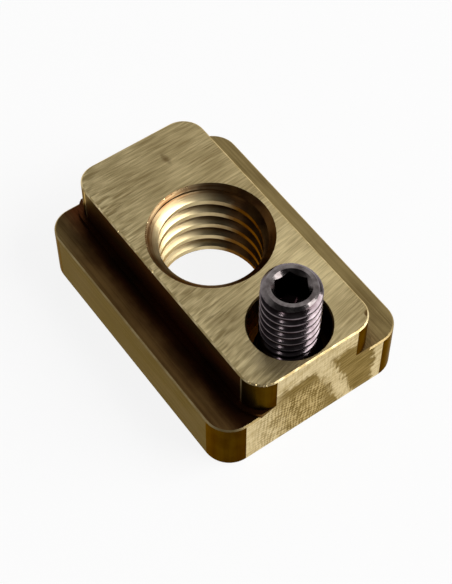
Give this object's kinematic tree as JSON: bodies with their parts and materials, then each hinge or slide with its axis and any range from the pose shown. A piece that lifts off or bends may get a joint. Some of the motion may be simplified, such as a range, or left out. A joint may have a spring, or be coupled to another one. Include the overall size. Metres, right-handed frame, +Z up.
{
  "type": "t slot nut",
  "caption": "Brass T slot nut: a round-cornered flange under a narrower boss, a tapped through hole for the bolt and a hex socket set screw standing in a counterbore near one end.",
  "frame": {"origin": "centre of the flange's underside", "axes": "+Z up through the boss along the bolt hole's axis, +X along the block towards the set screw's end"},
  "size_m": [0.0206, 0.0142, 0.0112],
  "materials": {
    "nut_brass": "machined and lightly brushed brass",
    "screw_steel": "dark oxidised steel, semi-gloss"
  },
  "bodies": {
    "nut": {"nut_body": "nut_brass"},
    "screw": {"set_screw": "screw_steel"}
  },
  "joints": [
    {"name": "set_screw_travel", "type": "slide", "parent": "nut", "child": "screw", "axis": [0, 0, 1], "range_m": [-0.0056, 0.0007]}
  ]
}
